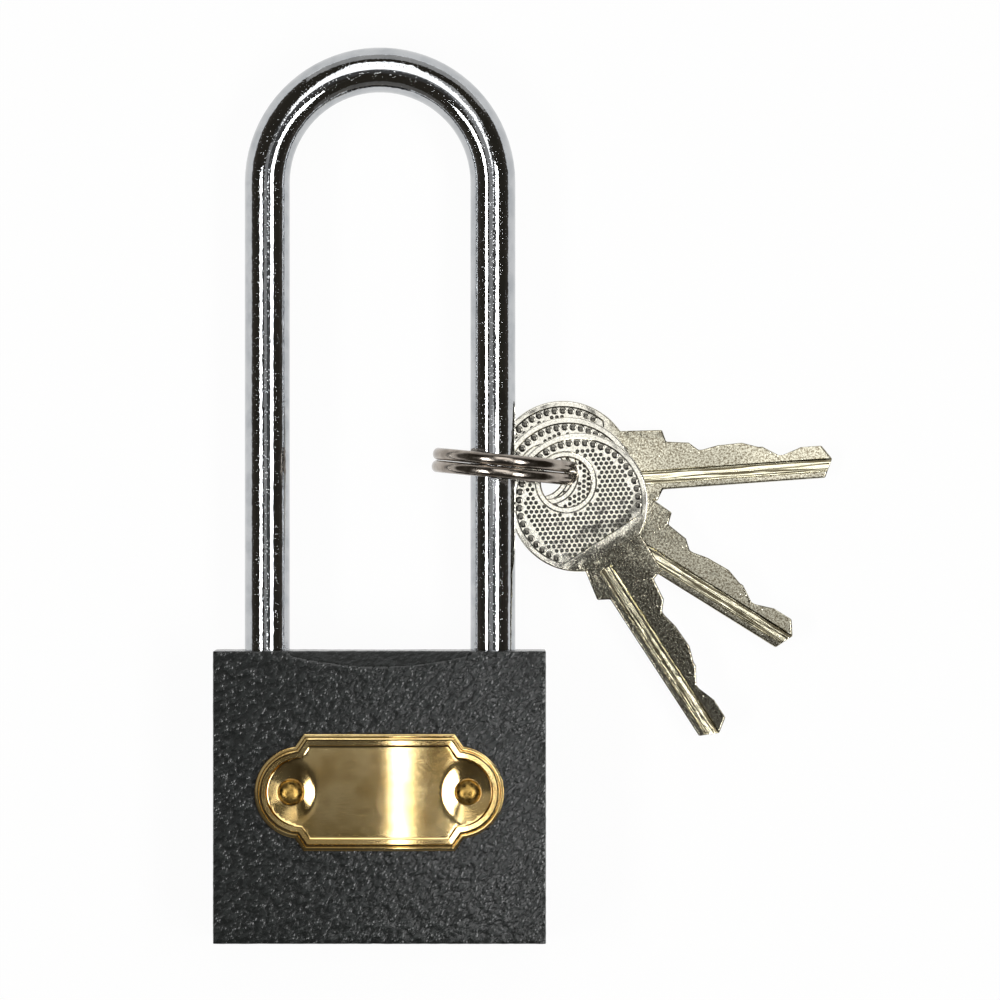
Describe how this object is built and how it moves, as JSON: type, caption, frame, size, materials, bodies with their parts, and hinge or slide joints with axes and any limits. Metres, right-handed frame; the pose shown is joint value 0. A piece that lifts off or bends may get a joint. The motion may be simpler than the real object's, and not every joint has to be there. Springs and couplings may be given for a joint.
{
  "type": "long-shackle padlock with keys",
  "caption": "Cast-iron padlock with a long round shackle, riveted brass plate, pin-tumbler cylinder and latch inside, and matching keys on a split ring round the shackle.",
  "frame": {"origin": "centre of the body's flat back face, on which the lock lies", "axes": "+X to the right seen from the front, +Y from the body towards the shackle's bend, +Z out of the front face with the plate"},
  "size_m": [0.0934, 0.1348, 0.0227],
  "materials": {
    "enamelled_iron": "charcoal wrinkle enamel, semi-gloss",
    "chromed_steel": "bright chrome plate, slightly pitted",
    "stamped_brass": "stamped and brushed, lacquered",
    "machined_brass": "turned and drilled",
    "hardened_steel": "ground",
    "zinc_steel": "zinc plated",
    "spring_steel": "drawn wire",
    "ring_steel": "nickel plated, tarnished",
    "nickel_brass": "nickel plated, stippled bow"
  },
  "bodies": {
    "case": {"body_casting": "enamelled_iron", "front_plate": "stamped_brass", "plate_rivets": "stamped_brass", "cylinder_shell": "machined_brass", "pin_cover_strip": "machined_brass", "driver_pin_1": "machined_brass", "driver_pin_2": "machined_brass", "driver_pin_3": "machined_brass", "driver_pin_4": "machined_brass", "driver_pin_5": "machined_brass", "pin_spring_1": "spring_steel", "pin_spring_2": "spring_steel", "pin_spring_3": "spring_steel", "pin_spring_4": "spring_steel", "pin_spring_5": "spring_steel", "latch_bore_plug": "enamelled_iron", "shackle_keeper_pin": "enamelled_iron", "cylinder_pin": "hardened_steel", "shackle_spring": "spring_steel", "latch_spring": "spring_steel"},
    "shackle": {"shackle": "chromed_steel"},
    "plug": {"plug": "machined_brass", "tail_cam": "hardened_steel", "cam_screws": "zinc_steel", "key_pin_1": "machined_brass", "key_pin_2": "machined_brass", "key_pin_3": "machined_brass", "key_pin_4": "machined_brass", "key_pin_5": "machined_brass"},
    "latch": {"latch": "hardened_steel"},
    "ring": {"split_ring": "ring_steel"},
    "key_1": {"key_1": "nickel_brass"},
    "key_2": {"key_2": "nickel_brass"},
    "key_3": {"key_3": "nickel_brass"}
  },
  "joints": [
    {"name": "shackle_lift", "type": "slide", "parent": "case", "child": "shackle", "axis": [0, 1, 0], "range_m": [0, 0.016], "deforming": ["shackle_spring"]},
    {"name": "plug_turn", "type": "hinge", "parent": "case", "child": "plug", "pos_m": [0, -0.0216, 0.0083], "axis": [0, 1, 0], "range_deg": [-90, 0]},
    {"name": "latch_slide", "type": "slide", "parent": "case", "child": "latch", "axis": [1, 0, 0], "range_m": [-0.00311, 0], "deforming": ["latch_spring"]},
    {"name": "ring_slide", "type": "slide", "parent": "shackle", "child": "ring", "axis": [0, 1, 0], "range_m": [-0.01, 0.038]},
    {"name": "key_1_swing", "type": "hinge", "parent": "ring", "child": "key_1", "pos_m": [0.02465, 0.04902, 0.0027], "axis": [0, 0, 1], "range_deg": [-60, 40]},
    {"name": "key_2_swing", "type": "hinge", "parent": "ring", "child": "key_2", "pos_m": [0.02652, 0.04883, 0.0044], "axis": [0, 0, 1], "range_deg": [-30, 120]},
    {"name": "key_3_swing", "type": "hinge", "parent": "ring", "child": "key_3", "pos_m": [0.0277, 0.04871, 0.0061], "axis": [0, 0, 1], "range_deg": [-12, 140]}
  ],
  "couplings": [
    {"joint": "plug_turn", "follows": "latch_slide", "rad_per_m": 504.87}
  ]
}
